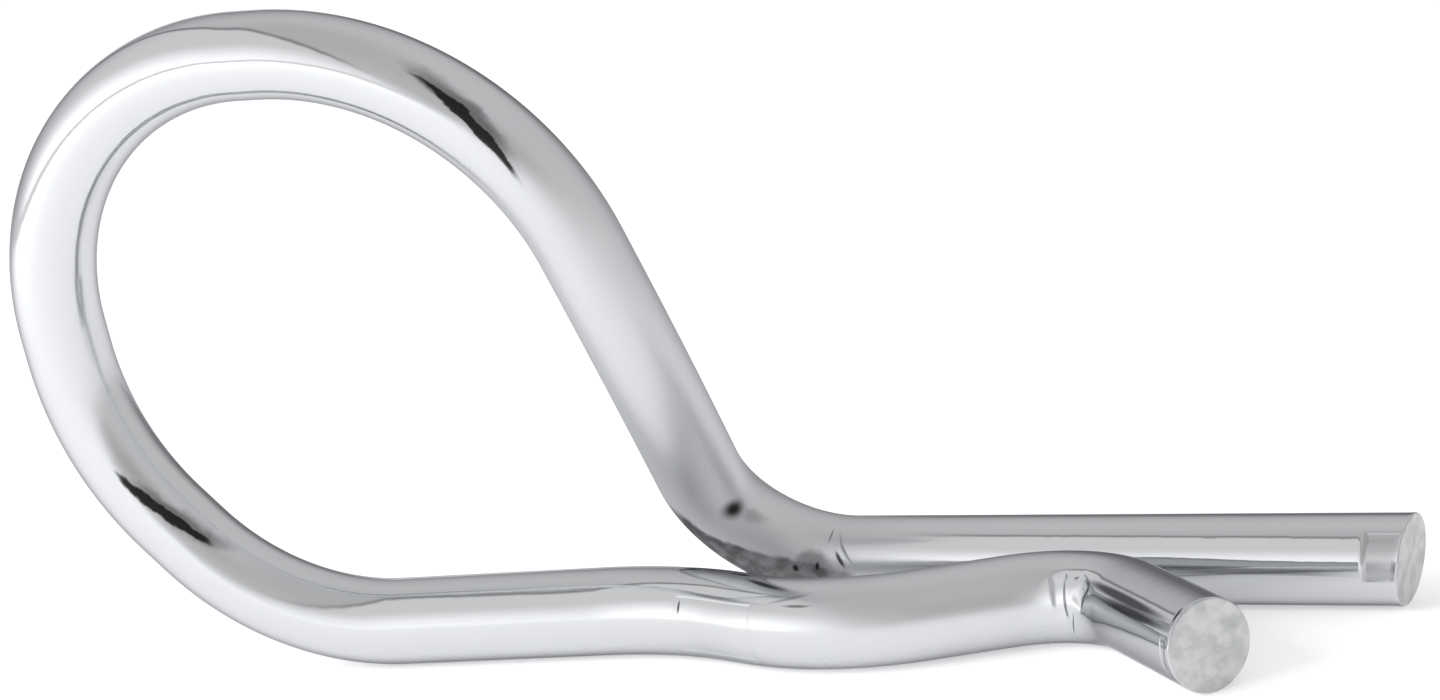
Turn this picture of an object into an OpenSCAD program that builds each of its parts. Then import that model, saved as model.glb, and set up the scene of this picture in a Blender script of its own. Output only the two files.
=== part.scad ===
// Spring clip for a drilled shank, bent from one length of round wire.
// The straight leg goes through the cross hole in the shank. The wavy leg runs
// round the outside, and its bow grips the shank. The loop is the finger pull,
// and the spring that draws the two legs together.
// Millimetres, +Z up. The clip rests on its two legs, as it would on a bench.
// The origin is on the straight leg's axis, at the middle of the shank.

/* [Wire] */
// Diameter of the wire
wire_d = 4; // [3.5:0.25:4.25]
// How far each sheared end is off square, in degrees
shear_a = 9; // [0:1:12]

/* [Straight leg] */
// Length of the straight leg, from its corner with the loop to its cut end
leg_l = 32.6; // [28:0.2:60]
// Bend radius at that corner, to the middle of the wire
elbow_r = 6; // [5:0.5:6.5]

/* [Loop] */
// How far the loop reaches back from the straight leg's corner
loop_l = 28; // [26:1:36]
// Height of the loop above the legs, wire middle to wire middle
loop_h = 27.6; // [26:0.2:36]
// How far the top of the loop leans out over the wavy leg
loop_lean = 14.4; // [12:0.2:16]

/* [Wavy leg] */
// Distance between the two legs, middle to middle, just before the bow
leg_pitch = 7.45; // [7:0.05:8]
// Diameter of the shank that the bow closes round
shank_d = 15; // [14:0.5:17]
// Clear gap between the two legs at the pinch
pinch_gap = 1.5; // [0.5:0.25:2]
// Bend radius at the pinch, to the middle of the wire
pinch_r = 5.2; // [4.6:0.2:6]
// Length of the flared tip, from the corner of the pinch
tip_l = 11.2; // [9:0.2:14]
// Slope of the flared tip away from the straight leg, in degrees
flare_a = 43; // [36:1:46]

/* [Hidden] */
$fn = 96;

wire_r = wire_d / 2;
// Where straight wire runs into a bend, the die leaves a ring that stands a
// hair proud. Inside that ring the straight stops this far short of the bend.
ring = 0.025;
ring_l = 0.6;
stop_short = 0.1;

// Slopes of the wavy leg against the straight one, in degrees: closing in from
// the loop, out to the bow, and back in to the pinch
close_a = 9.5;
out_a = 18;
in_a = 31;

// The bow is centred on the middle of the shank, so its inside fits the shank
bow_r = (shank_d + wire_d) / 2;
// Middle of the wavy leg from the middle of the straight leg at the pinch
pinch_h = wire_d + pinch_gap;
// Bend radius where the wavy leg starts out to the bow
start_r = 14.5;
// How far along the straight leg's corner that bend's corner stands
start_x = 0.5;

// A bend rounds its corner off. These give how far the corner has to stand
// beyond the crest of the bend, for slopes a1 before the crest and a2 after it.
function crest(r, a1, a2) = r * (cos((a1 - a2) / 2) / cos((a1 + a2) / 2) - 1);

bow_v = bow_r + crest(bow_r, out_a, in_a);
pinch_v = pinch_h - crest(pinch_r, in_a, flare_a);
bow_s = start_x + (bow_v - leg_pitch) / tan(out_a);
pinch_s = bow_s + (bow_v - pinch_v) / tan(in_a);
// The middle of the shank, measured from the straight leg's corner
shank_s = bow_s - bow_r * sin((in_a - out_a) / 2) / cos((in_a + out_a) / 2);

// Corners of the loop, as shares of its reach, lean and height
rise = [0.016, 0.49, 0.415];
top_front = [-0.115, 0.77, 0.974];
top_back = [-0.967, 1, 1.003];
back = [-0.951, 0.86, 0.336];
bottom_s = -0.668 * loop_l;
// Bend radii of the loop, as shares of its height
rise_k = 0.88;
top_front_k = 0.51;
top_back_k = 0.424;
back_k = 0.5;
bottom_k = 0.48;

// A place on the clip: s along the straight leg, v out to the wavy leg, u up
function place(s, v, u) = [s - shank_s, -v, u];
function on_loop(k) = place(k[0] * loop_l, k[1] * loop_lean, k[2] * loop_h);

// Corners of the wire's middle line, from the straight end to the flared end
corners = [
    place(leg_l, 0, 0),
    place(0, 0, 0),
    on_loop(rise),
    on_loop(top_front),
    on_loop(top_back),
    on_loop(back),
    place(bottom_s, leg_pitch + (start_x - bottom_s) * tan(close_a), 0),
    place(start_x, leg_pitch, 0),
    place(bow_s, bow_v, 0),
    place(pinch_s, pinch_v, 0),
    place(pinch_s + tip_l * cos(flare_a), pinch_v + tip_l * sin(flare_a), 0)
];
// Bend radius at each corner, none at the two ends
radii = [
    0,
    elbow_r,
    rise_k * loop_h,
    top_front_k * loop_h,
    top_back_k * loop_h,
    back_k * loop_h,
    bottom_k * loop_h,
    start_r,
    bow_r,
    pinch_r,
    0
];
last = len(corners) - 1;

function unit(v) = v / norm(v);
function way(i) = unit(corners[i + 1] - corners[i]);
function is_end(i) = i == 0 || i == last;
function turn(i) = is_end(i) ? 0 : acos(way(i - 1) * way(i));
// Length of straight wire that the bend at a corner uses up on each side
function used(i) = radii[i] * tan(turn(i) / 2);
function bend_start(i) = corners[i] - way(i - 1) * used(i);
function straight_start(i) = corners[i] + way(i) * used(i);
function straight_l(i) = norm(corners[i + 1] - corners[i]) - used(i) - used(i + 1);

// Rotation that takes the axes X, Y, Z to the three square directions x, y, z
function axes_to(x, y, z) = [atan2(y[2], z[2]), -asin(x[2]), atan2(x[1], x[0])];
function z_to(d) = [0, acos(d[2]), atan2(d[1], d[0])];

// Straight wire after corner i, that runs on by e at its far end
module straight(i, e = -stop_short)
    translate(straight_start(i) + way(i) * stop_short)
    rotate(z_to(way(i)))
    cylinder(h = straight_l(i) - stop_short + e, r = wire_r);

// Bent wire at corner i
module bend(i) {
    in = way(i - 1);
    side = unit(way(i) - in * cos(turn(i)));
    translate(bend_start(i) + side * radii[i])
    rotate(axes_to(-side, in, cross(-side, in)))
    rotate_extrude(angle = turn(i))
    translate([radii[i], 0])
    circle(r = wire_r);
}

// Ring where straight wire and bent wire meet at p, for wire along d
module die_ring(p, d)
    translate(p)
    rotate(z_to(d))
    cylinder(h = ring_l, r = wire_r + ring, center = true);

// Waste beyond a sheared end at p, for wire that comes along d. The cut leans
// by the shear angle about the direction t.
module waste(p, d, t)
    translate(p)
    rotate(shear_a, t)
    rotate(z_to(d))
    translate([-wire_d, -wire_d, 0])
    cube(2 * wire_d);

// Straight leg: the top of the wire is the longest, as the shear left it
module straight_leg()
    difference() {
        translate(corners[0] + [wire_d, 0, 0])
        rotate([0, -90, 0])
        cylinder(h = straight_l(0) + wire_d - stop_short, r = wire_r);
        waste(corners[0], [1, 0, 0], [0, 1, 0]);
    }

// Flared tip: the shear left its inner side the longest
module flared_tip()
    difference() {
        straight(last - 1, wire_d);
        waste(corners[last], way(last - 1), [0, 0, 1]);
    }

// The whole clip is one wire
module clip()
    color("silver")
    union() {
        straight_leg();
        for (i = [1:last - 1]) bend(i);
        for (i = [1:last - 1]) die_ring(bend_start(i), way(i - 1));
        for (i = [1:last - 1]) die_ring(straight_start(i), way(i));
        for (i = [1:last - 2]) straight(i);
        flared_tip();
    }

clip();
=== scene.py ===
# %% [markdown]
# # A hitch pin clip, bent from one wire
# This lesson dresses a spring clip that was measured as a CAD part.
# The CAD part stays as the frame, and could be shaded as it is. But it has facets
# and no way to carry marks, so one smooth piece of plated wire takes its place,
# with the same straights and bends as the real clip.
# Lengths are in metres. X runs along the straight leg and Z is up.

import math

import bmesh
import bpy
from mathutils import Matrix, Vector, noise


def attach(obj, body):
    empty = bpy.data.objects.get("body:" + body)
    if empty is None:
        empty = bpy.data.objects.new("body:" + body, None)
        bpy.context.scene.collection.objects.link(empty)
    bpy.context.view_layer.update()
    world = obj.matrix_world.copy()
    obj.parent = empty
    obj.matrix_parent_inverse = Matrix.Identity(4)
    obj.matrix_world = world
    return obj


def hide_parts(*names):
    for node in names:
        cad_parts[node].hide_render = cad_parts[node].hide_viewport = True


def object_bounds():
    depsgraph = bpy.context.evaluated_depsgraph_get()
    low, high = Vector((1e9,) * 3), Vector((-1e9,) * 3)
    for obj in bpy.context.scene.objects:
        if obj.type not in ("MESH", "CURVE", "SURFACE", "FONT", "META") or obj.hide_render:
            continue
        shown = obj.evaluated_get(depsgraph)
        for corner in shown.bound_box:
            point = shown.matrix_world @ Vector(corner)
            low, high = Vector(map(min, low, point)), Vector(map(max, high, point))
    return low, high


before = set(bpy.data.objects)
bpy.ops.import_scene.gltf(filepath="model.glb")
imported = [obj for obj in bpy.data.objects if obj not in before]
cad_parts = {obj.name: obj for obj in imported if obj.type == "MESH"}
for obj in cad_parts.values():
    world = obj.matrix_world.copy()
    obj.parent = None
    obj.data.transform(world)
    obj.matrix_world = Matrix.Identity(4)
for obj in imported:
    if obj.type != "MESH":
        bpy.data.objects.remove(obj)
cad_low, cad_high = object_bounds()
MM = 0.001


def box_mm(low, high):
    """The three sizes of a box, in millimetres."""
    return [round((b - a) / MM, 2) for a, b in zip(low, high)]


print("CAD box in mm:", box_mm(cad_low, cad_high))

# %% [markdown]
# ## The sizes that drive the clip
# A clip like this is made from a few choices: the wire, the leg that goes
# through the hole, the loop that is the spring, and the wave that grips.
# Its line could be traced by eye, but named sizes can be checked one by one.
# They are the same sizes as in the CAD part, in millimetres and degrees.

# %% Sizes
WIRE_R = 2.0
SHEAR = 9
LEG_L, ELBOW_R = 32.6, 6
LOOP_L, LOOP_H, LOOP_LEAN = 28, 27.6, 14.4
LEG_PITCH, START_X, START_R = 7.45, 0.5, 14.5
SHANK_D, PINCH_GAP, PINCH_R = 15, 1.5, 5.2
TIP_L, FLARE = 11.2, 43
# Slopes of the wavy leg: in from the loop, out to the bow, and in to the pinch
CLOSE, OUT, IN = 9.5, 18, 31


def sin(a):
    return math.sin(math.radians(a))


def cos(a):
    return math.cos(math.radians(a))


def tan(a):
    return math.tan(math.radians(a))


def crest(r, a1, a2):
    """How far a corner stands beyond the crest of the bend that rounds it."""
    return r * (cos((a1 - a2) / 2) / cos((a1 + a2) / 2) - 1)


BOW_R = SHANK_D / 2 + WIRE_R
bow_v = BOW_R + crest(BOW_R, OUT, IN)
pinch_v = 2 * WIRE_R + PINCH_GAP - crest(PINCH_R, IN, FLARE)
bow_s = START_X + (bow_v - LEG_PITCH) / tan(OUT)
pinch_s = bow_s + (bow_v - pinch_v) / tan(IN)
shank_s = bow_s - BOW_R * sin((IN - OUT) / 2) / cos((IN + OUT) / 2)
print("elbow to the middle of the shank in mm:", round(shank_s, 2))

# %% [markdown]
# ## The middle line of the wire
# A smooth curve through points would be quick to draw. But a bending machine
# thinks in corners: it feeds straight wire, then bends it round a roller. So the
# line is a list of corners, each with the radius of its bend. Moving one corner
# keeps the wire smooth and in one piece.

# %% Corners
# Corners of the loop, as shares of its reach, lean and height, and the radius of
# each bend as a share of the height
LOOP_CORNERS = (
    (0.016, 0.49, 0.415, 0.88),
    (-0.115, 0.77, 0.974, 0.51),
    (-0.967, 1, 1.003, 0.424),
    (-0.951, 0.86, 0.336, 0.5),
)
# The lowest corner: how far back, as a share of the reach, and its bend likewise
BOTTOM, BOTTOM_BEND = -0.668, 0.48


def place(s, v, u):
    """A point s along the straight leg, v out to the wavy leg and u up."""
    return Vector((s - shank_s, -v, u)) * MM


def on_loop(s, v, u, bend):
    """A corner of the loop and the radius of its bend, from their shares."""
    return place(s * LOOP_L, v * LOOP_LEAN, u * LOOP_H), bend * LOOP_H


bottom_s = BOTTOM * LOOP_L
bottom_v = LEG_PITCH + (START_X - bottom_s) * tan(CLOSE)
line = [
    (place(LEG_L, 0, 0), 0),
    (place(0, 0, 0), ELBOW_R),
    *[on_loop(*shares) for shares in LOOP_CORNERS],
    (place(bottom_s, bottom_v, 0), BOTTOM_BEND * LOOP_H),
    (place(START_X, LEG_PITCH, 0), START_R),
    (place(bow_s, bow_v, 0), BOW_R),
    (place(pinch_s, pinch_v, 0), PINCH_R),
    (place(pinch_s + TIP_L * cos(FLARE), pinch_v + TIP_L * sin(FLARE), 0), 0),
]
corners = [c for c, r in line]
radii = [r * MM for c, r in line]
ways = [(b - a).normalized() for a, b in zip(corners, corners[1:])]
turns = [0] + [a.angle(b) for a, b in zip(ways, ways[1:])] + [0]
used = [r * math.tan(t / 2) for r, t in zip(radii, turns)]
print("bends in degrees:", [round(math.degrees(t), 1) for t in turns[1:-1]])

# %% [markdown]
# ## The round section of the wire
# The wire was drawn through a round die, so its section is a circle. A curve with
# a bevel would give a wire too, but its rings can't be reached for the cut ends
# and the tool marks. So it starts as one ring of points, at the cut end of the
# straight leg, in a mesh that is shaped step by step.

# %% A ring of wire
# Points in a ring, and the name under which they remember the straight wire
ROUND = 96
PLACE_NAME = "on_straight_wire"

wire_bm = bmesh.new()
place_layer = wire_bm.verts.layers.float_vector.new(PLACE_NAME)
turn_in = ways[0].to_track_quat("Z", "Y").to_matrix().to_4x4()
bmesh.ops.create_circle(
    wire_bm,
    segments=ROUND,
    radius=WIRE_R * MM,
    matrix=Matrix.Translation(corners[0]) @ turn_in,
)
ring = wire_bm.edges[:]
first_ring = wire_bm.verts[:]
print("points in the first ring:", len(first_ring))

# %% [markdown]
# ## Two moves: feed and roll
# A bending machine feeds the wire straight ahead, or turns it about a roller.
# Extruding the ring is the first move, and spinning it about the centre of the
# bend is the second. A curve through points would only come near to that. Here
# every bend is a true arc, so reflections run along it without a kink.

# %% Feed and roll
# The turn from one ring to the next in a bend, and the fewest rings in a bend
STEP = math.radians(1.5)
FEWEST_STEPS = 8


def points_of(edges):
    """The points of some edges, each of them once."""
    return list(dict.fromkeys(v for e in edges for v in e.verts))


def made_by(geom):
    """The points that an operator made, and the edges between them."""
    points = [g for g in geom if isinstance(g, bmesh.types.BMVert)]
    edges = [g for g in geom if isinstance(g, bmesh.types.BMEdge)]
    among = set(points)
    return points, [e for e in edges if among.issuperset(e.verts)]


def feed(ring, way, length, steps=1):
    """Pushes the ring of wire straight ahead, and returns the new ring."""
    for _ in range(steps):
        geom = bmesh.ops.extrude_edge_only(wire_bm, edges=ring)["geom"]
        points, ring = made_by(geom)
        bmesh.ops.translate(wire_bm, verts=points, vec=way * (length / steps))
    return ring


def roll(ring, i):
    """Bends the wire round its roller at corner i, and returns the new ring."""
    axis = ways[i - 1].cross(ways[i]).normalized()
    start = corners[i] - ways[i - 1] * used[i]
    geom = bmesh.ops.spin(
        wire_bm,
        geom=ring + points_of(ring),
        cent=start + axis.cross(ways[i - 1]) * radii[i],
        axis=axis,
        angle=turns[i],
        steps=max(FEWEST_STEPS, round(turns[i] / STEP)),
        use_duplicate=False,
    )["geom_last"]
    return [g for g in geom if isinstance(g, bmesh.types.BMEdge)]


print("rings in the elbow:", round(turns[1] / STEP))

# %% [markdown]
# ## Bend the whole wire
# The machine takes the corners in order, and so does this loop. The cut ends
# carry the finest marks, so the rings stand closer there. They could be as close
# all along, but the mesh would be heavy and look no better.

# %% Sweep
# Gap between rings on straight wire, then the length and the rings of a cut end
STEP_L = 0.6
END_L, END_STEPS = 2.4, 20

for i, way in enumerate(ways):
    straight = (corners[i + 1] - corners[i]).length - used[i] - used[i + 1]
    if i == 0:
        ring = feed(ring, way, END_L * MM, END_STEPS)
    if i in (0, len(ways) - 1):
        straight -= END_L * MM
    ring = feed(ring, way, straight, max(1, round(straight / (STEP_L * MM))))
    if i + 1 < len(ways):
        ring = roll(ring, i + 1)
    else:
        ring = feed(ring, way, END_L * MM, END_STEPS)
last_ring = points_of(ring)
print("faces round the wire:", len(wire_bm.faces))

# %% [markdown]
# ## Shear the two ends
# Clip wire is cropped, not sawn. The blade leaves each end a little off square,
# with its rim rolled over. A cut by a plane would leave a sharp rim and uneven
# rings, so the last ring is slid along the wire onto a slanted plane, and the
# rings behind it ever less. Then the end is closed with smaller rings.

# %% Sheared ends
# How far the rim is rolled over in mm, its turns in degrees, and the face's rings
RIM = 0.09
RIM_TURNS = (30, 60, 90)
FACE_RINGS = 16
# A point this many radii off the wire's middle isn't part of the end
NEAR_END = 1.5


def shear(end, way, about):
    """Slides the rings near an end, until the last lies just under a slanted plane."""
    normal = Matrix.Rotation(math.radians(SHEAR), 3, about) @ way
    for v in wire_bm.verts:
        behind = (end - v.co).dot(way)
        out = v.co + way * behind - end
        if out.length < NEAR_END * WIRE_R * MM and behind < END_L * MM:
            slide = out.dot(normal) / way.dot(normal) + RIM * MM
            v.co -= way * slide * (1 - behind / (END_L * MM))


def close(ring, end, way):
    """Rolls the rim over and fills the face, and returns its innermost ring."""
    edges = [e for v in ring for e in v.link_edges if all(w in ring for w in e.verts)]
    edges = list(dict.fromkeys(edges))
    rolled = [(1 - RIM * (1 - cos(t)) / WIRE_R, RIM * (1 - sin(t))) for t in RIM_TURNS]
    flat = [(rolled[-1][0] * (1 - k / FACE_RINGS), 0) for k in range(1, FACE_RINGS)]
    share, set_back = 1, RIM
    for next_share, next_set_back in rolled + flat:
        geom = bmesh.ops.extrude_edge_only(wire_bm, edges=edges)["geom"]
        points, edges = made_by(geom)
        for v in points:
            in_plane = v.co + way * set_back * MM - end
            v.co = end + in_plane * (next_share / share) - way * next_set_back * MM
        share, set_back = next_share, next_set_back
    bmesh.ops.edgeloop_fill(wire_bm, edges=edges)
    return points


shear(corners[0], -ways[0], Vector((0, 1, 0)))
first_core = close(first_ring, corners[0], -ways[0])
shear(corners[-1], ways[-1], Vector((0, 0, 1)))
last_core = close(last_ring, corners[-1], ways[-1])
bmesh.ops.recalc_face_normals(wire_bm, faces=wire_bm.faces[:])
print("points with both faces closed:", len(wire_bm.verts))

# %% [markdown]
# ## Remember the straight wire
# Die lines, scratches and tool marks were made on or along straight wire, and
# bent with it. Patterns in space would cut across the bends. So each point also
# remembers its place on the straight wire: how far along it is, and where it is
# in the round section. Patterns that read this follow every bend.

# %% Places on the straight wire
# Rings at each end that belong to its rim and face
FACE_COUNT = len(RIM_TURNS) + FACE_RINGS - 1


def rings_from(core):
    """All rings of points in order, from one closed face to the other."""
    ring = [core[0]]
    while len(ring) < ROUND:
        nearby = [e.other_vert(ring[-1]) for e in ring[-1].link_edges]
        ring.append(next(v for v in nearby if v in core and v not in ring))
    rings, seen = [ring], set(ring)
    while True:
        nearby = [e.other_vert(v) for v in rings[-1] for e in v.link_edges]
        ahead = [v for v in nearby if v not in seen]
        if len(ahead) < ROUND:
            return rings
        rings.append(ahead)
        seen.update(ahead)


rings = rings_from(first_core)
middles = [sum((v.co for v in ring), Vector()) / ROUND for ring in rings]
spokes = []
for v in rings[FACE_COUNT + 1]:
    out = v.co - middles[FACE_COUNT + 1]
    spokes.append(Vector((0, -out.y, out.z)).normalized())
fed = 0
for k, ring in enumerate(rings):
    fed += (middles[k] - middles[k - 1]).length if k else 0
    size = sum((v.co - middles[k]).length for v in ring) / ROUND
    for v, spoke in zip(ring, spokes):
        v[place_layer] = (Vector((fed, 0, 0)) + spoke * size) / MM
face_rings = rings[:FACE_COUNT] + rings[-FACE_COUNT:]
cut_points = {v for ring in face_rings for v in ring}
print("length of wire in mm:", round(fed / MM, 2))

# %% [markdown]
# ## Flats pressed by the tools
# The holder nipped the straight end, and the wire was squeezed where it was bent
# hardest. Bump alone would leave the outline round, so the points there are
# pushed inwards. A flat is given by its place on the straight wire: millimetres
# along from the straight end, degrees round from the top towards the wavy leg,
# half its length and width, and its turn.

# %% Pressed flats
HOLDER_FLAT = (0.85, 71, 0.78, 1.08, 0)
PINCH_FLAT_1 = (144.1, 127, 0.55, 1.1, 12)
PINCH_FLAT_2 = (145.9, 138, 0.6, 0.7, -25)
# Each flat, how soft its edge is as a share, and its depth in mm
PRESSED = (
    (HOLDER_FLAT, 0.2, 0.06),
    (PINCH_FLAT_1, 0.45, 0.08),
    (PINCH_FLAT_2, 0.45, 0.08),
)
# A mark reaches this far into the wire, in mm, so it misses the far side
REACH_IN = 1.5


def on_skin(along, around):
    """A place on the skin of the straight wire."""
    return Vector((along, WIRE_R * sin(around), WIRE_R * cos(around)))


def lie_on_wire(around, turn):
    """Turns a flat mark to its place round the wire."""
    to_side = Matrix.Rotation(math.radians(-around), 3, "X")
    return to_side @ Matrix.Rotation(math.radians(turn), 3, "Z")


def pressed_in(here, along, around, half_length, half_width, turn, soft):
    """How far a place lies inside a flat, from 0 to 1, with a soft edge."""
    local = lie_on_wire(around, turn).transposed() @ (here - on_skin(along, around))
    reaches = (half_length, half_width, REACH_IN)
    far = max(abs(x) / reach for x, reach in zip(local, reaches))
    inside = min(1, max(0, (1 - far) / soft))
    return inside * inside * (3 - 2 * inside)


def pressed_depth(here):
    """How deep the tools pressed a place on the straight wire, in millimetres."""
    return max(depth * pressed_in(here, *flat, soft) for flat, soft, depth in PRESSED)


pushed = 0
for ring, middle in zip(rings, middles):
    for v in ring:
        push = pressed_depth(v[place_layer])
        if push and v not in cut_points:
            v.co += (middle - v.co).normalized() * push * MM
            pushed += 1
print("points in the pressed flats:", pushed)

# %% [markdown]
# ## Torn faces
# The blade shines one side of the cut, and the rest tears. Carving each tear
# would be slow, and a little noise looks the same: it pushes the points of each
# face inwards, never out past the length of the clip.

# %% Tear
# Depth of the tears and the plain margin they fade over, in mm
TEAR, TEAR_FADE = 0.05, 0.3
# Tears per mm, then the noise's falloff, its step in size and its octaves
TEAR_SCALE, TEAR_NOISE = 1.1, (0.6, 2.2, 3)
TEAR_LIFT = 0.5

torn, face_r = 0, WIRE_R - RIM
for core, way in ((first_core, -ways[0]), (last_core, ways[-1])):
    middle = sum((v.co for v in core), Vector()) / ROUND
    for v in cut_points:
        away = (v.co - middle).length / MM
        if away < face_r:
            rough = noise.fractal(v.co / MM * TEAR_SCALE, *TEAR_NOISE)
            inside = min(1, (face_r - away) / TEAR_FADE)
            v.co -= way * MM * TEAR * inside * max(0, TEAR_LIFT + rough)
            torn += 1
print("points on the torn faces:", torn)

# %% [markdown]
# ## Into the scene
# The finished wire takes the place of the CAD wire. It rides on the one rigid
# body that the clip has, and is smooth shaded all over. The cut faces get a slot
# of their own, because steel that was just cut looks unlike plate.

# %% Wire object
# The first material slot is for the plate and the second for the cut faces
for f in wire_bm.faces:
    f.smooth = True
    f.material_index = 1 if all(v in cut_points for v in f.verts) else 0
mesh = bpy.data.meshes.new("clip_wire")
wire_bm.to_mesh(mesh)
wire_bm.free()
wire = bpy.data.objects.new("clip_wire", mesh)
bpy.context.scene.collection.objects.link(wire)
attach(wire, "root")
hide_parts("clip")
print("wire:", len(mesh.polygons), "faces")

# %% [markdown]
# ## A finish for the wire
# The wire has bright zinc plate, which mirrors the room. A finish is a net of
# nodes, and could be wired by hand in the editor. In a script that takes a line
# for each node and link, so a few helpers make a node and return what comes out.
# They work on the current nodes and links.

# %% Plate
def new_material(name):
    m = bpy.data.materials.new(name)
    m.use_nodes = True
    return m, m.node_tree.nodes, m.node_tree.links


def node(kind, operation=None, inputs=()):
    """A node in the current net, with values or links on its first sockets."""
    made = nodes.new(kind)
    if operation:
        made.operation = operation
    for k, value in enumerate(inputs):
        if isinstance(value, bpy.types.NodeSocket):
            links.new(value, made.inputs[k])
        elif value is not None:
            made.inputs[k].default_value = value
    return made


def math_node(operation, *values):
    return node("ShaderNodeMath", operation, values).outputs["Value"]


def vector_node(operation, *values):
    return node("ShaderNodeVectorMath", operation, values).outputs["Vector"]


def place_on_wire():
    """The place on the straight wire that each point remembers."""
    made = node("ShaderNodeAttribute")
    made.attribute_name = PLACE_NAME
    return made.outputs["Vector"]


plate, nodes, links = new_material("bright_zinc_plate")
spot = place_on_wire()
print("finish:", plate.name)

# %% [markdown]
# ## Waves, die lines and grain
# The drawing die left faint lines along the wire, and the plate is a little
# uneven, which makes the reflections wander. All this is thinner than a hair. It
# could be in the mesh only with millions of faces, so it is bump.

# %% Skin of the plate
# Repeats per mm, stretch along the wire and detail of each
WAVES, LINES, GRAIN = (0.35, (1, 1, 1), 2), (2.5, (0.03, 1, 1), 3), (5, (0.4, 1, 1), 4)
# Their heights in mm, and what the grain adds to the roughness
WAVE_H, LINE_H, GRAIN_H, GRAIN_DULL = 0.02, 0.0022, 0.0008, 0.05


def texture(scale, stretch=(1, 1, 1), detail=2, output="Fac"):
    """Noise over the straight wire, in repeats per millimetre."""
    made = node("ShaderNodeTexNoise", None, (vector_node("MULTIPLY", spot, stretch),))
    made.inputs["Scale"].default_value = scale
    made.inputs["Detail"].default_value = detail
    return made.outputs[output]


grain = texture(*GRAIN)
height = math_node("MULTIPLY", texture(*WAVES), WAVE_H)
height = math_node("MULTIPLY_ADD", texture(*LINES), LINE_H, height)
height = math_node("MULTIPLY_ADD", grain, GRAIN_H, height)
dull = math_node("MULTIPLY", grain, GRAIN_DULL)
print("nodes in the skin:", len(nodes))

# %% [markdown]
# ## Marks and painted reflections
# The tools left flats, edges, pits and scratches. The dark lines on the legs and
# the darkest spots on the elbow are painted reflections of dark things in the
# room, some laid over small dents. A painted picture could show them all, but
# here each is one row, at a place on the straight wire as for the flats, and can
# be moved by itself. A square mark has firm corners, like a flat or a long line,
# and others are oval. Each can dent, darken and dull the plate.

# %% Marks and painted reflections
# name: along, round, half length, half width, turn, square, soft, depth in mm,
# then how dark and how dull it is, from 0 to 1
MARKS_AND_REFLECTIONS = {
    "holder_flat": (*HOLDER_FLAT, 1, 0.12, 0.01, 0.25, 0.5),
    # painted reflection: a dark line along the straight leg, drawn as colour with no dent
    "leg_painted_reflection": (6.5, 88.3, 5, 0.2, -1, 1, 0.6, 0, 0.5, 0),
    "elbow_edge": (26.3, 60, 0.12, 1.3, 32, 0, 0.9, 0.02, 0.5, 0.3),
    # a small dent at the elbow, darkened almost to black as a painted reflection
    "elbow_dent_painted_reflection": (34.2, 69, 0.95, 0.75, 20, 0, 0.85, 0.02, 0.98, 0.3),
    "roller_edge": (125.9, 137, 0.09, 0.4, 0, 0, 0.8, 0.03, 0.7, 0.2),
    "roller_flat": (127.9, 112, 2.4, 1.3, 0, 1, 0.1, 0.03, 0, 0),
    # painted reflections: dark lines and a stroke on the wavy leg, with no dent
    "wave_painted_reflection_1": (128.2, 154.3, 3.3, 0.14, -1.7, 0, 0.8, 0, 0.45, 0),
    "wave_painted_reflection_2": (131.8, 161, 1.2, 0.12, 16, 0, 0.8, 0, 0.45, 0),
    "wave_painted_reflection_stroke": (130.3, 183.5, 1.75, 0.19, -15, 0, 0.7, 0, 0.88, 0),
    "pinch_scratch": (132.2, 151, 0.8, 0.09, 0, 0, 0.8, 0.01, 0.7, 0.2),
    "pinch_flat_1": (*PINCH_FLAT_1, 1, 0.45, 0.01, 0, 0.1),
    "pinch_flat_2": (*PINCH_FLAT_2, 1, 0.45, 0.01, 0, 0.1),
    "pinch_crack": (145, 93, 0.06, 0.8, -28, 0, 0.8, 0.03, 0.6, 0.2),
    "tip_burr": (154.5, 163, 0.14, 0.6, 0, 0, 0.7, 0.03, 0.9, 0.2),
    "tip_glint": (154.2, 108, 0.22, 0.9, 0, 1, 0.5, 0.04, 0, 0),
    # painted reflections: dark lines on the tip, with no dent
    "tip_painted_reflection_1": (150.1, 152, 5, 0.3, 0, 0, 0.6, 0, 0.86, 0),
    "tip_painted_reflection_2": (151.1, 140.5, 3.8, 0.26, 1, 0, 0.6, 0, 0.8, 0),
    # small dents at the elbow, darkened almost to black as painted reflections
    "elbow_spot_painted_reflection_1": (29.1, 95, 0.42, 0.34, -30, 0, 0.8, 0.02, 0.97, 0.2),
    "elbow_spot_painted_reflection_2": (27.9, 86, 0.26, 0.42, 0, 0, 0.8, 0.02, 0.97, 0.2),
    "elbow_stroke_1": (27.35, 42, 0.08, 0.5, -8, 0, 0.7, 0.01, 0.7, 0.2),
    "elbow_stroke_2": (26.5, 74, 0.16, 0.65, 38, 0, 0.7, 0.02, 0.9, 0.2),
}
# What a fully dull mark adds to the roughness
MARK_DULL = 0.4


def fall(value, start, end):
    """One up to the start, then softly down to nothing at the end."""
    edge = node("ShaderNodeMapRange", None, (value, end, start))
    edge.interpolation_type = "SMOOTHSTEP"
    return edge.outputs["Result"]


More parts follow.
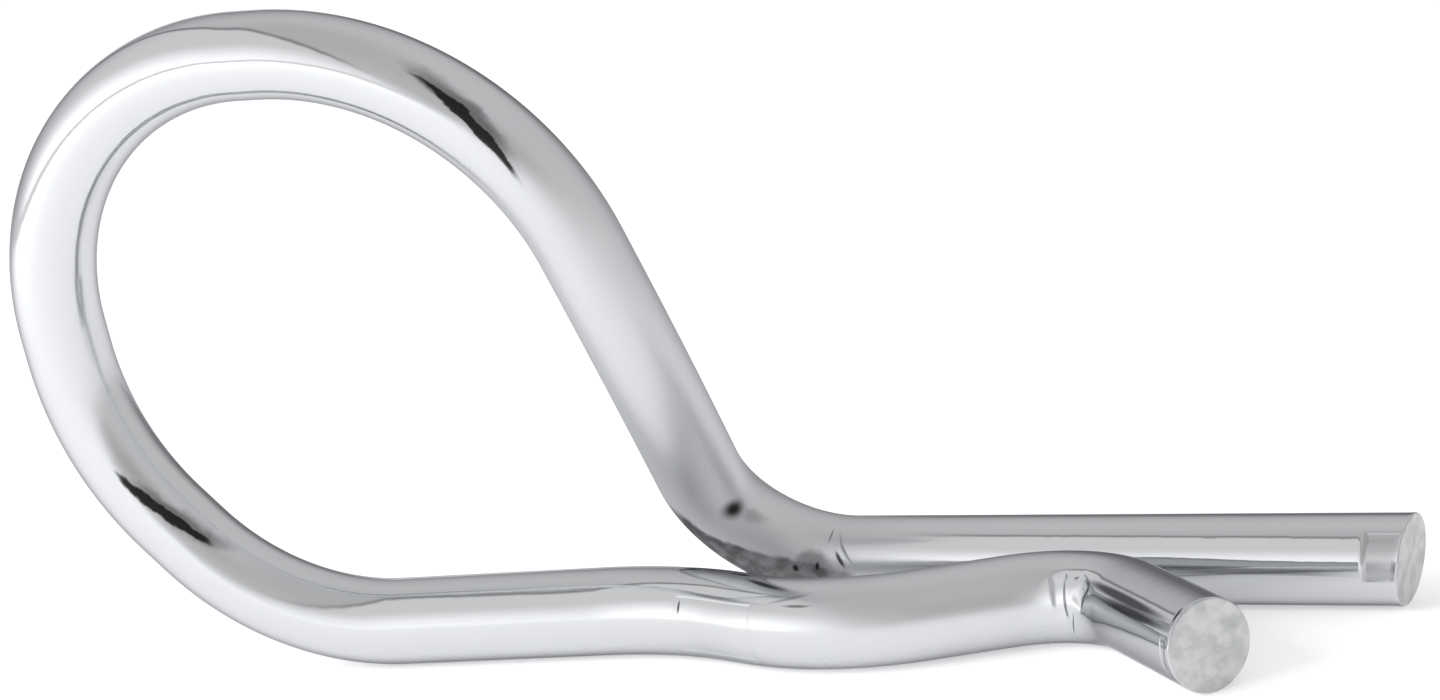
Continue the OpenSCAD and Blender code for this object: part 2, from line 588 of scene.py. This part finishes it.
def mark_share(spot, along, around, half_length, half_width, turn, square, soft):
    """How far a place on the straight wire lies inside a mark."""
    local = node("ShaderNodeMapping")
    local.vector_type = "TEXTURE"
    local.inputs["Location"].default_value = on_skin(along, around)
    local.inputs["Rotation"].default_value = lie_on_wire(around, turn).to_euler()
    local.inputs["Scale"].default_value = (half_length, half_width, REACH_IN)
    links.new(spot, local.inputs["Vector"])
    if square:
        near = vector_node("ABSOLUTE", local.outputs["Vector"])
        split = node("ShaderNodeSeparateXYZ", None, (near,))
        far = math_node("MAXIMUM", split.outputs["X"], split.outputs["Y"])
        far = math_node("MAXIMUM", far, split.outputs["Z"])
    else:
        length = node("ShaderNodeVectorMath", "LENGTH", (local.outputs["Vector"],))
        far = length.outputs["Value"]
    return fall(far, 1 - soft, 1)


dark = 0
for *where, depth, darker, duller in MARKS_AND_REFLECTIONS.values():
    share = mark_share(spot, *where)
    if depth:
        height = math_node("MULTIPLY_ADD", share, -depth, height)
    if darker:
        dark = math_node("MAXIMUM", math_node("MULTIPLY", share, darker), dark)
    if duller:
        dull = math_node("MULTIPLY_ADD", share, MARK_DULL * duller, dull)
print("marks:", ", ".join(MARKS_AND_REFLECTIONS))

# %% [markdown]
# ## Duller stretches
# The real wire shows soft gradients on the rise, the bow and the loop's lower
# back, and crisp reflections elsewhere. Rougher plate is a likely cause, though a
# guess. A second material would meet the first in a hard line, so the same plate
# grows rougher towards the middle of each stretch.

# %% Hazes
# name: its middle along the wire, half length in full and in all, then how dull
HAZES = {
    "rise": (39.5, 10, 22, 0.38),
    "bow": (137.8, 3.5, 8, 0.26),
    "back": (95, 6, 17, 0.14),
}
along = node("ShaderNodeSeparateXYZ", None, (spot,)).outputs["X"]
for middle, full, reach, duller in HAZES.values():
    away = math_node("ABSOLUTE", math_node("SUBTRACT", along, middle))
    dull = math_node("MULTIPLY_ADD", fall(away, full, reach), duller, dull)
print("duller stretches:", ", ".join(HAZES))

# %% [markdown]
# ## Ragged dark patches
# The elbow is darker in mottled blotches, with a smear beside its pit. The two
# black streaks on the loop, each with a grey fringe, are painted reflections of
# dark things in the room. An oval with a clean edge would look printed on, so
# noise pulls the place of each point about before the ovals are laid, and their
# edges turn ragged.

# %% Ragged dark patches
# name: along, round, half length, half width, turn, square, soft, then how dark
RAGGED_DARK_PATCHES = {
    "elbow_blotches": (30.8, 132, 5.5, 1.45, 14, 0, 0.2, 0.76),
    "elbow_swirl": (28.2, 84, 1.5, 0.9, 0, 0, 0.5, 0.45),
    "pit_smear": (32.9, 59, 1.6, 0.4, 14, 0, 0.9, 0.32),
    # painted reflections: two black streaks on the loop, each with a grey fringe
    "top_painted_reflection_fringe": (56.8, 71, 3.9, 0.6, -9, 0, 0.7, 0.62),
    "top_painted_reflection": (56.4, 80, 3.6, 0.3, -9, 0, 0.35, 0.98),
    "back_painted_reflection_fringe": (98.2, 147, 3.9, 0.6, 9, 0, 0.7, 0.62),
    "back_painted_reflection": (97.4, 139, 3.6, 0.3, 9, 0, 0.35, 0.98),
}
# The noise that pulls: repeats per mm, stretch along the wire and detail, then
# how far it pulls along the wire and across it, in mm
RAGGED, PULL = (1.8, (0.45, 1, 1), 5), (1.6, 0.6, 0.6)
MIDDLE_GREY = (0.5, 0.5, 0.5)
# These two patches are blotchy. Repeats per mm and detail, where the blots start and
# end in the noise, how much of a patch is left between them, and how dull it is
MOTTLED = ("elbow_blotches", "elbow_swirl")
BLOT_SCALE, BLOT_DETAIL, BLOT_START, BLOT_END = 1.1, 5, 0.6, 0.36
BETWEEN, BLOT_DULL = 0.7, 0.15

centred = vector_node("SUBTRACT", texture(*RAGGED, "Color"), MIDDLE_GREY)
spread = vector_node("ADD", spot, vector_node("MULTIPLY", centred, PULL))
blots = fall(texture(BLOT_SCALE, detail=BLOT_DETAIL), BLOT_START, BLOT_END)
blots = math_node("MULTIPLY_ADD", blots, 1 - BETWEEN, BETWEEN)
for name, (*where, darker) in RAGGED_DARK_PATCHES.items():
    share = mark_share(spread, *where)
    if name in MOTTLED:
        share = math_node("MULTIPLY", share, blots)
        dull = math_node("MULTIPLY_ADD", share, BLOT_DULL, dull)
    dark = math_node("MAXIMUM", math_node("MULTIPLY", share, darker), dark)
print("stains:", ", ".join(RAGGED_DARK_PATCHES))

# %% [markdown]
# ## Colour, roughness and bump of the plate
# Clean plate is a pale metal with a trace of blue. A plain grey paint would never
# mirror the room, so it is fully metallic. The outline of the real wire is dark,
# so the tint at a glancing angle is darker than the plate. What the cells above
# gathered goes in here.

# %% Colours
PLATE = (0.62, 0.63, 0.645, 1)
BLACK = (0.02, 0.02, 0.022, 1)
EDGE_TINT = (0.4, 0.4, 0.42, 1)
CLEAN_ROUGH = 0.04


def colours(share, first, second):
    """The first colour, or the second as far as the share goes."""
    tone = node("ShaderNodeMix")
    tone.data_type = "RGBA"
    tone.inputs["A"].default_value = first
    tone.inputs["B"].default_value = second
    links.new(share, tone.inputs["Factor"])
    return tone.outputs["Result"]


def bump(height):
    """Turns the light as if the skin stood up by a height in millimetres."""
    relief = node("ShaderNodeBump")
    relief.inputs["Strength"].default_value = 1
    relief.inputs["Distance"].default_value = MM
    links.new(height, relief.inputs["Height"])
    return relief.outputs["Normal"]


steel = nodes["Principled BSDF"].inputs
steel["Metallic"].default_value = 1
steel["Specular Tint"].default_value = EDGE_TINT
# The dark share blackens the plate for the dark marks, the blotches and the painted
# reflections
links.new(colours(dark, PLATE, BLACK), steel["Base Color"])
links.new(math_node("ADD", dull, CLEAN_ROUGH), steel["Roughness"])
links.new(bump(height), steel["Normal"])
wire.data.materials.append(plate)
print("nodes in the whole plate:", len(nodes))

# %% [markdown]
# ## The cut faces
# Here the steel shows, or plate over a torn surface: dull, mottled grey. One
# even grey would look like plastic, so noise sets the colour, the roughness and
# a fine bump.

# %% Cut faces
CUT_DARK, CUT_PALE = (0.44, 0.45, 0.46, 1), (0.58, 0.58, 0.59, 1)
CUT_METAL = 0.85
# Patches: repeats per mm and detail, and where they start and end in the noise
PATCH_SCALE, PATCH_DETAIL, PATCH_START, PATCH_END = 1.2, 6, 0.62, 0.38
# Least roughness, and what the palest patches add to it
CUT_ROUGH, PATCH_ROUGH = 0.3, 0.25
# Fine tears: repeats per mm and detail, and their height in mm
FINE_SCALE, FINE_DETAIL, FINE_H = 3, 5, 0.025

cut, nodes, links = new_material("sheared_steel")
spot = place_on_wire()
patches = texture(PATCH_SCALE, detail=PATCH_DETAIL)
fine = math_node("MULTIPLY", texture(FINE_SCALE, detail=FINE_DETAIL), FINE_H)
raw = nodes["Principled BSDF"].inputs
raw["Metallic"].default_value = CUT_METAL
mottle = fall(patches, PATCH_START, PATCH_END)
links.new(colours(mottle, CUT_DARK, CUT_PALE), raw["Base Color"])
links.new(math_node("MULTIPLY_ADD", patches, PATCH_ROUGH, CUT_ROUGH), raw["Roughness"])
links.new(bump(fine), raw["Normal"])
wire.data.materials.append(cut)
print("materials on the wire:", [m.name for m in wire.data.materials])

# %% [markdown]
# ## The floor
# The clip stands on a light table: a wide pale sheet that glows a little from
# below. A plain white floor would need stronger lamps, and those leave hard
# shadows. The glow keeps the shadows faint and the underside of the wire bright.

# %% Floor
FLOOR_HALF = 3
SHEET, SHEET_ROUGH = (0.82, 0.82, 0.82, 1), 0.8
GLOW, GLOW_STRENGTH = (1, 1, 1, 1), 0.34

floor_mesh = bpy.data.meshes.new("floor")
floor_bm = bmesh.new()
bmesh.ops.create_grid(floor_bm, x_segments=1, y_segments=1, size=FLOOR_HALF)
floor_bm.to_mesh(floor_mesh)
floor_bm.free()
floor = bpy.data.objects.new("floor", floor_mesh)
floor.location = (0, 0, cad_low[2])
bpy.context.scene.collection.objects.link(floor)
sheet, nodes, links = new_material("pale_sheet")
pale = nodes["Principled BSDF"].inputs
pale["Base Color"].default_value = SHEET
pale["Roughness"].default_value = SHEET_ROUGH
pale["Emission Color"].default_value = GLOW
pale["Emission Strength"].default_value = GLOW_STRENGTH
floor.data.materials.append(sheet)
print("floor at", round(floor.location.z / MM, 3), "mm")

# %% [markdown]
# ## The camera
# The photo looks at the clip from the front right and a little above, with a
# long lens, and is turned so that the straight leg lies level across it. Aiming
# by eye comes close, but here the camera was solved together with the bends, so
# the render lies over the photo.

# %% Camera
# Where it stands in mm, which way its right and its top point, and its lens
EYE = (78.889, -150.951, 46.848)
RIGHT = (0.87267, 0.46647, -0.14441)
UP = (0.02614, 0.25068, 0.96772)
LENS, SENSOR, NEAREST = 96.25, 36, 0.01

right, up = Vector(RIGHT), Vector(UP)
back = right.cross(up).normalized()
right = up.cross(back).normalized()
cam_data = bpy.data.cameras.new("camera")
cam_data.lens = LENS
cam_data.sensor_width = SENSOR
cam_data.clip_start = NEAREST
camera = bpy.data.objects.new("camera", cam_data)
turned = Matrix((right, up, back)).transposed().to_4x4()
camera.matrix_world = Matrix.Translation(Vector(EYE) * MM) @ turned
bpy.context.scene.collection.objects.link(camera)
bpy.context.scene.camera = camera
print("camera at", [round(x / MM) for x in camera.matrix_world.translation], "mm")

# %% [markdown]
# ## What the wire mirrors
# Bright wire has no colour of its own to speak of. It shows what stands round
# it, so the look is made by the studio. A picture of a studio could stand round
# it too, but its screens couldn't be moved one by one to where the photo has
# them. Here there is a very large soft white screen on the left with a dark rim,
# a small screen behind, and grey walls that are darker in two corners. Each is
# an oval patch about one direction, with a soft edge.

# %% Screens and walls
# name: azimuth, elevation, half width and half height in degrees, then the share
# of it that is in full and its brightness
PATCHES = {
    "dim_ceiling": (-102, 62, 50, 50, 0.3, 0.65),
    "dim_corner": (95, 8, 50, 30, 0.1, 0.36),
    "dim_front": (-50, 18, 36, 36, 0.1, 0.52),
    "screen_frame": (-150, 0, 66, 66, 0.97, 0.35),
    "white_screen": (-150, 0, 63, 63, 0.97, 0.9),
    "screen_fade": (-74, 6, 24, 40, 0.3, 0.7),
    "screen_glow": (-130, -3, 58, 42, 0.4, 1.45),
    "screen_middle": (-134, -8, 36, 30, 0.5, 1.7),
    "back_screen": (132, 6, 15, 15, 0.6, 1.7),
}
WALL = 0.76
print("patches in the studio:", ", ".join(PATCHES))

# %% [markdown]
# ## Lay the patches over the walls
# Real screens could be built as glowing planes, but they would also light the
# floor and show in it. The world's colour can depend on the direction instead,
# and the patches are laid over the walls one after the other, like paper.

# %% Studio
world = bpy.data.worlds.new("studio")
world.use_nodes = True
nodes, links = world.node_tree.nodes, world.node_tree.links


def towards(azimuth, elevation):
    """Unit direction, with azimuth from +X round to +Y, both in degrees."""
    level = cos(elevation)
    return Vector((cos(azimuth) * level, sin(azimuth) * level, sin(elevation)))


def patch_share(ray, azimuth, elevation, half_width, half_height, full):
    """How far a direction lies inside an oval patch of the surroundings."""
    out = towards(azimuth, elevation)
    facing = out.to_track_quat("Z", "Y").to_matrix()
    reach = [2 * sin(half / 2) for half in (half_width, half_height)]
    oval = node("ShaderNodeMapping")
    oval.vector_type = "TEXTURE"
    oval.inputs["Location"].default_value = out
    oval.inputs["Rotation"].default_value = facing.to_euler()
    oval.inputs["Scale"].default_value = (*reach, max(reach))
    links.new(ray, oval.inputs["Vector"])
    far = node("ShaderNodeVectorMath", "LENGTH", (oval.outputs["Vector"],))
    return fall(far.outputs["Value"], full, 1)


def layer(below, share, bright):
    """Lays a brightness over the one below, as far as the share goes."""
    mix = node("ShaderNodeMix", None, (share,))
    mix.inputs["B"].default_value = bright
    if isinstance(below, bpy.types.NodeSocket):
        links.new(below, mix.inputs["A"])
    else:
        mix.inputs["A"].default_value = below
    return mix.outputs["Result"]


ray = node("ShaderNodeTexCoord").outputs["Generated"]
shade = WALL
for *where, bright in PATCHES.values():
    shade = layer(shade, patch_share(ray, *where), bright)
links.new(shade, nodes["Background"].inputs["Color"])
bpy.context.scene.world = world
print("nodes in the studio:", len(nodes))

# %% [markdown]
# ## A lamp above
# One large soft lamp lights the table. A small one would throw a sharp shadow.
# It stays out of the reflections, as a lamp does behind a polarising filter.

# %% Lamp
# Where it stands, how wide it is and where it aims, in metres, and its watts
LAMP_AT, LAMP_SIZE, LAMP_AIM = (-0.22, -0.2, 0.13), 0.25, (0, 0, 0.01)
LAMP_POWER = 1.1

lamp_data = bpy.data.lights.new("screen_lamp", "AREA")
lamp_data.shape = "RECTANGLE"
lamp_data.size = lamp_data.size_y = LAMP_SIZE
lamp_data.energy = LAMP_POWER
lamp = bpy.data.objects.new("screen_lamp", lamp_data)
lamp.location = LAMP_AT
from_clip = Vector(LAMP_AT) - Vector(LAMP_AIM)
lamp.rotation_euler = from_clip.to_track_quat("Z", "Y").to_euler()
lamp.visible_glossy = False
lamp.visible_camera = False
bpy.context.scene.collection.objects.link(lamp)
bpy.context.scene.view_settings.view_transform = "Standard"
print("lamp", round(from_clip.length / MM), "mm from the clip")
